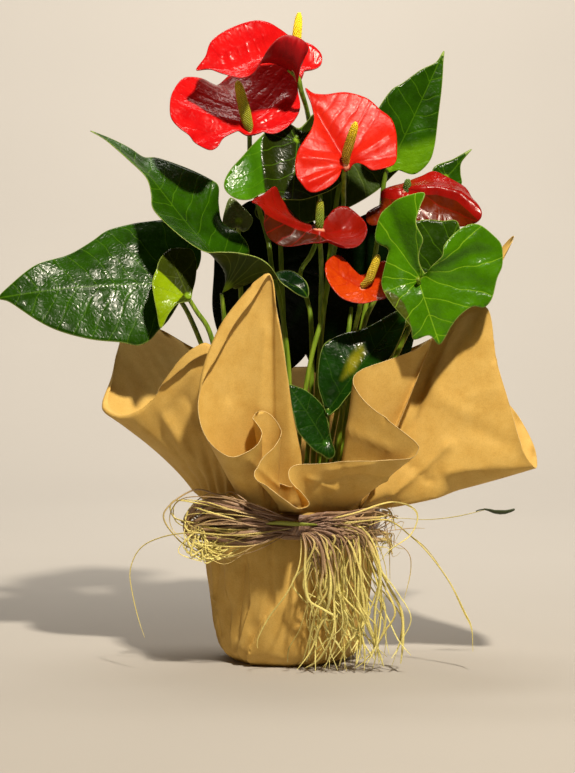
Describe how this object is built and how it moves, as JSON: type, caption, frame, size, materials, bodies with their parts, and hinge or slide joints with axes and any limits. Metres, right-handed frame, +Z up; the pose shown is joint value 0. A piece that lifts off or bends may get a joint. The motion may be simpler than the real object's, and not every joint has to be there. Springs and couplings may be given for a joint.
{
  "type": "potted anthurium",
  "caption": "Potted red anthurium with glossy heart-shaped leaves, its nursery pot wrapped in flared kraft paper and tied with a raffia bow.",
  "frame": {"origin": "centre of the wrap's flat base, on the surface that the plant stands on", "axes": "+Z up, -Y towards the side with the raffia bow and the tall lobe of paper, +X to the right of a viewer there"},
  "size_m": [0.5267, 0.2933, 0.6438],
  "materials": {
    "kraft_paper": "matt brown kraft paper, creased",
    "raffia": "natural raffia, satin, pale straw with some taupe and green strands",
    "black_plastic": "matt black thin plastic",
    "peat_soil": "moist dark peat, matt",
    "leaf_green": "glossy waxy leaf",
    "stalk_green": "satin green stalk",
    "spathe_red": "high-gloss waxy red",
    "spadix_gold": "fine-grained satin, yellow to green"
  },
  "bodies": {
    "root": {"nursery_pot": "black_plastic", "potting_soil": "peat_soil", "kraft_wrap": "kraft_paper", "raffia_band": "raffia", "raffia_bow": "raffia", "flower_1_spathe": "spathe_red", "flower_1_spadix": "spadix_gold", "flower_1_stalk": "stalk_green", "flower_2_spathe": "spathe_red", "flower_2_spadix": "spadix_gold", "flower_2_stalk": "stalk_green", "flower_3_spathe": "spathe_red", "flower_3_spadix": "spadix_gold", "flower_3_stalk": "stalk_green", "flower_4_spathe": "spathe_red", "flower_4_spadix": "spadix_gold", "flower_4_stalk": "stalk_green", "flower_5_spathe": "spathe_red", "flower_5_spadix": "spadix_gold", "flower_5_stalk": "stalk_green", "flower_6_spathe": "spathe_red", "flower_6_spadix": "spadix_gold", "flower_6_stalk": "stalk_green", "leaf_01": "leaf_green", "leaf_02": "leaf_green", "leaf_03": "leaf_green", "leaf_04": "leaf_green", "leaf_05": "leaf_green", "leaf_06": "leaf_green", "leaf_07": "leaf_green", "leaf_08": "leaf_green", "leaf_09": "leaf_green", "leaf_10": "leaf_green", "leaf_11": "leaf_green", "leaf_12": "leaf_green", "leaf_13": "leaf_green", "leaf_14": "leaf_green"}
  },
  "joints": []
}
